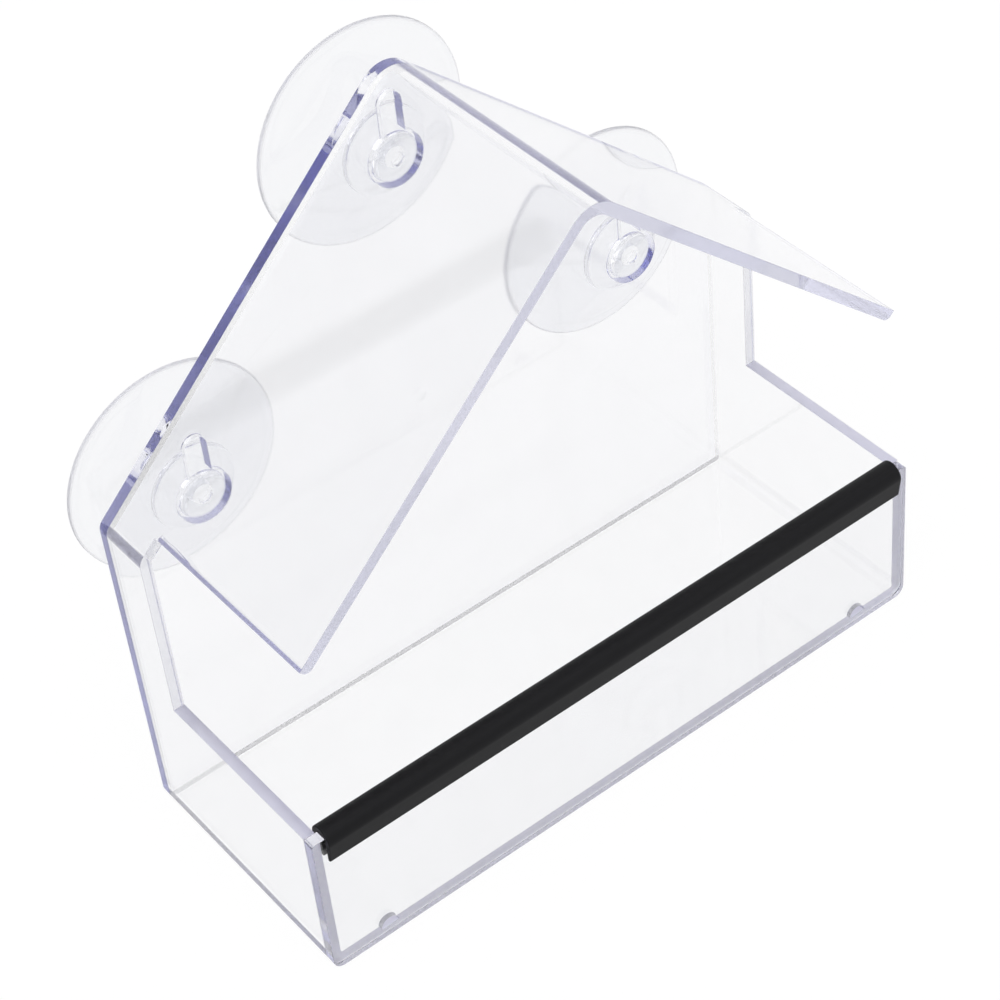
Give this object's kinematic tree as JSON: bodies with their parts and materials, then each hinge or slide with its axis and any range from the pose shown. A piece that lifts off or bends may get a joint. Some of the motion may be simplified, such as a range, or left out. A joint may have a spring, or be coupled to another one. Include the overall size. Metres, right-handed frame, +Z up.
{
  "type": "window bird feeder",
  "caption": "Clear house-shaped bird feeder: an open seed tray under a pitched roof, with a perch trim on its front edge and suction cups in keyhole slots that hold it on a window.",
  "frame": {"origin": "centre of the floor panel's underside, under the ridge and midway between the house's front and back faces", "axes": "+Z up, +Y towards the window, +X to the right seen from the front"},
  "size_m": [0.152, 0.0722, 0.1455],
  "materials": {
    "clear_acrylic": "polished clear sheet with faint lavender edges",
    "clear_soft_vinyl": "clear soft vinyl, glossy",
    "black_vinyl": "satin black"
  },
  "bodies": {
    "house": {"back_panel": "clear_acrylic", "floor_panel": "clear_acrylic", "left_side_wall": "clear_acrylic", "right_side_wall": "clear_acrylic", "left_roof_pane": "clear_acrylic", "right_roof_pane": "clear_acrylic", "front_panel": "clear_acrylic"},
    "suction_cup_top": {"suction_cup_top": "clear_soft_vinyl"},
    "suction_cup_left": {"suction_cup_left": "clear_soft_vinyl"},
    "suction_cup_right": {"suction_cup_right": "clear_soft_vinyl"},
    "perch_trim": {"perch_trim": "black_vinyl"}
  },
  "joints": [
    {"name": "suction_cup_top_slide", "type": "slide", "parent": "house", "child": "suction_cup_top", "axis": [0, 1, 0], "range_m": [-0.0018, 0.003]},
    {"name": "suction_cup_left_slide", "type": "slide", "parent": "house", "child": "suction_cup_left", "axis": [0, 1, 0], "range_m": [-0.0018, 0.003]},
    {"name": "suction_cup_right_slide", "type": "slide", "parent": "house", "child": "suction_cup_right", "axis": [0, 1, 0], "range_m": [-0.0018, 0.003]},
    {"name": "perch_trim_lift", "type": "slide", "parent": "house", "child": "perch_trim", "axis": [0, 0, 1], "range_m": [0, 0.012]}
  ]
}
